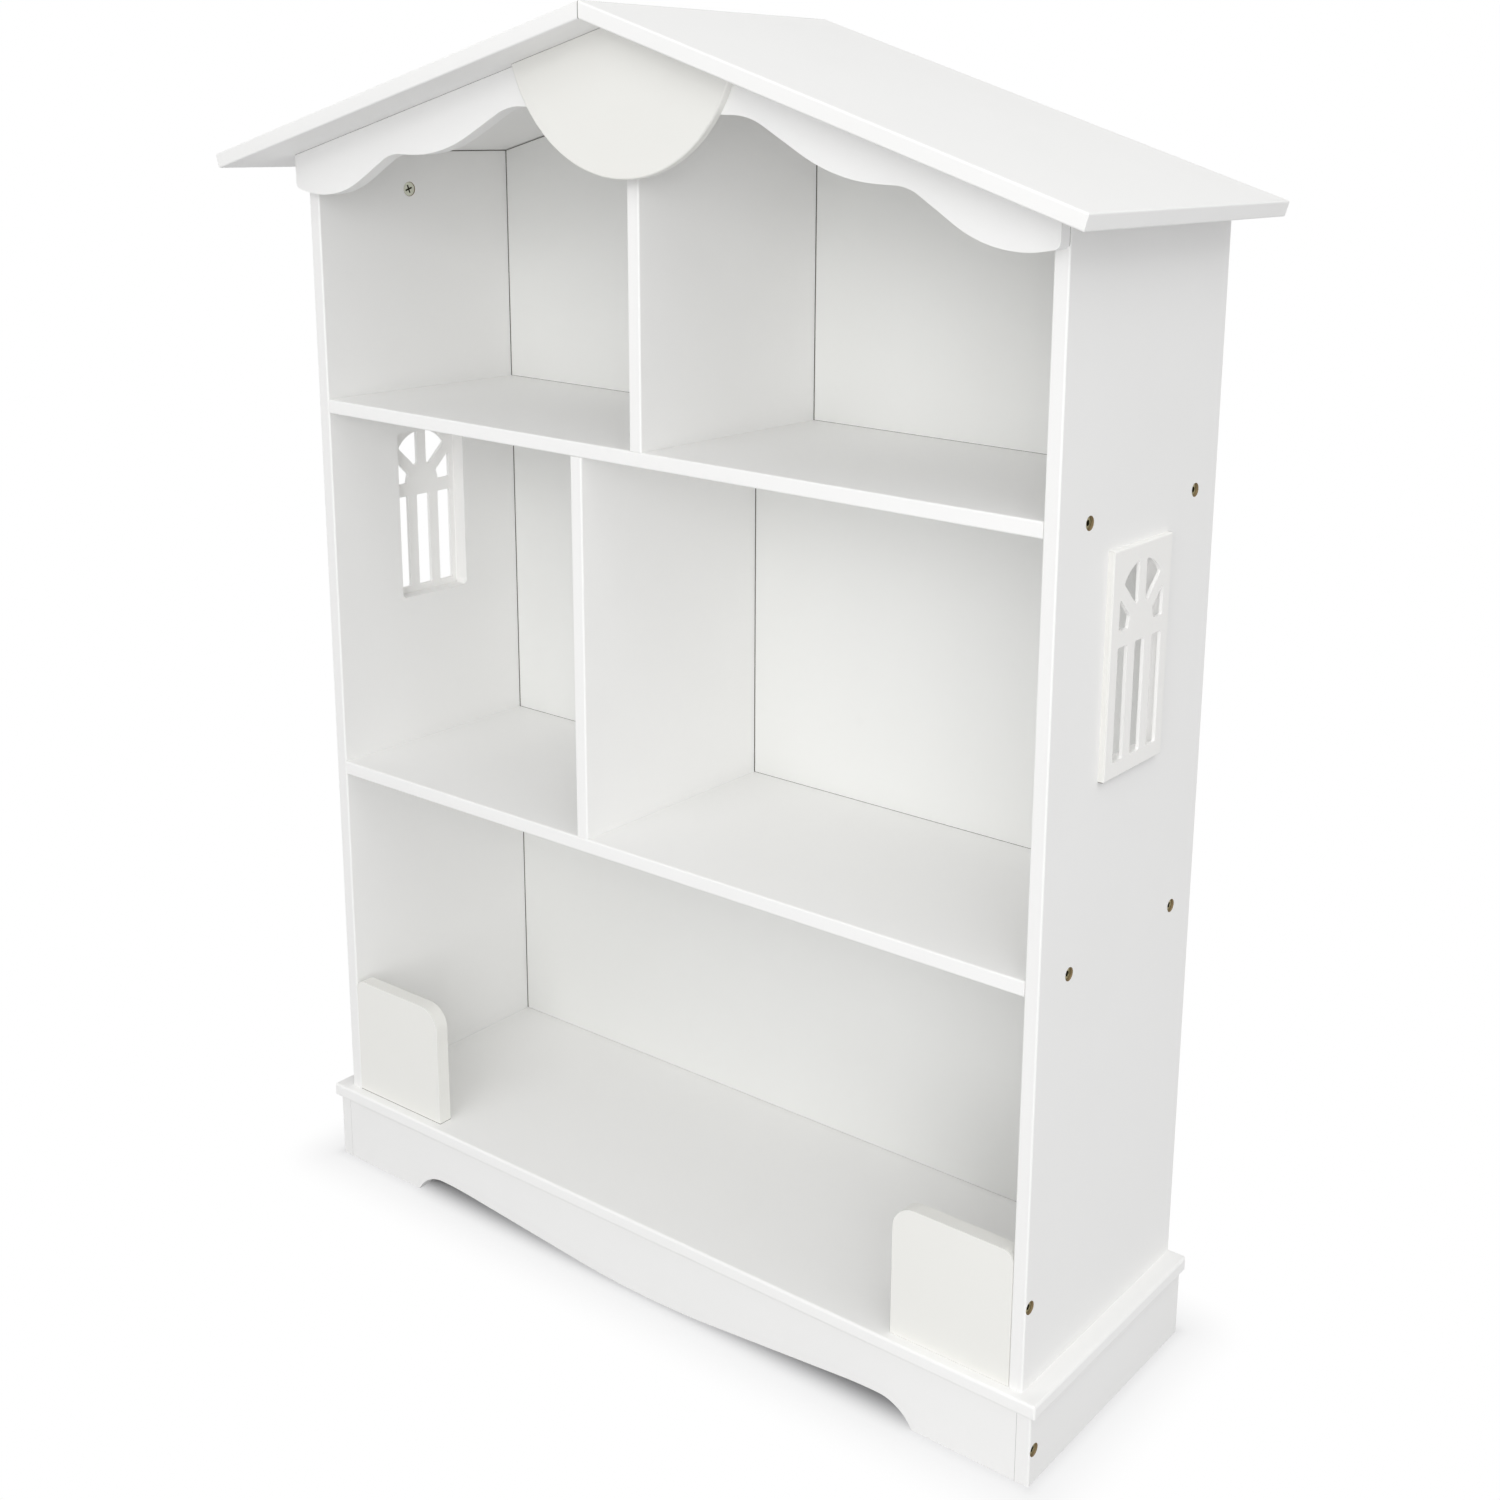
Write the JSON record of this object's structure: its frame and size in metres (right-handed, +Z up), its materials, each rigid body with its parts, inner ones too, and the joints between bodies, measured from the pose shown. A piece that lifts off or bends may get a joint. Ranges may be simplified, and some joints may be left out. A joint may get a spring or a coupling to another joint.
{
  "type": "house shaped bookcase",
  "caption": "Open bookcase shaped like a house: pitched roof, scalloped gable board with a round plate, divided shelves, book stops, pierced window panels in the ends and a cut-out plinth.",
  "frame": {"origin": "middle of the footprint, on the floor", "axes": "+X to the right seen from the front, +Y from the open front to the back, +Z up"},
  "size_m": [0.829, 0.278, 1.04],
  "materials": {
    "white_paint": "satin white paint on fibreboard",
    "back_board": "satin white paint on thin board",
    "screw_steel": "yellow zinc plated",
    "fitting_zinc": "zinc plated",
    "dowel_wood": "bare beech"
  },
  "bodies": {
    "root": {"roof_left": "white_paint", "roof_right": "white_paint", "gable_trim": "white_paint", "gable_disc": "white_paint", "side_left": "white_paint", "side_right": "white_paint", "window_left": "white_paint", "window_right": "white_paint", "shelf_upper": "white_paint", "shelf_middle": "white_paint", "base_board": "white_paint", "divider_upper": "white_paint", "divider_middle": "white_paint", "back_upper": "back_board", "back_middle": "back_board", "back_lower": "back_board", "book_stop_left": "white_paint", "book_stop_right": "white_paint", "plinth_front": "white_paint", "plinth_left": "white_paint", "plinth_right": "white_paint", "shelf_screws": "screw_steel", "stop_screws": "screw_steel", "plinth_screws": "screw_steel", "base_screws": "screw_steel", "disc_screws": "screw_steel", "roof_cams": "fitting_zinc", "roof_cam_bolts": "fitting_zinc", "plinth_cams": "fitting_zinc", "plinth_cam_bolts": "fitting_zinc", "roof_dowels": "dowel_wood", "ridge_dowels": "dowel_wood", "divider_dowels": "dowel_wood", "trim_dowels": "dowel_wood", "stop_dowels": "dowel_wood", "apron_dowels": "dowel_wood"}
  },
  "joints": []
}
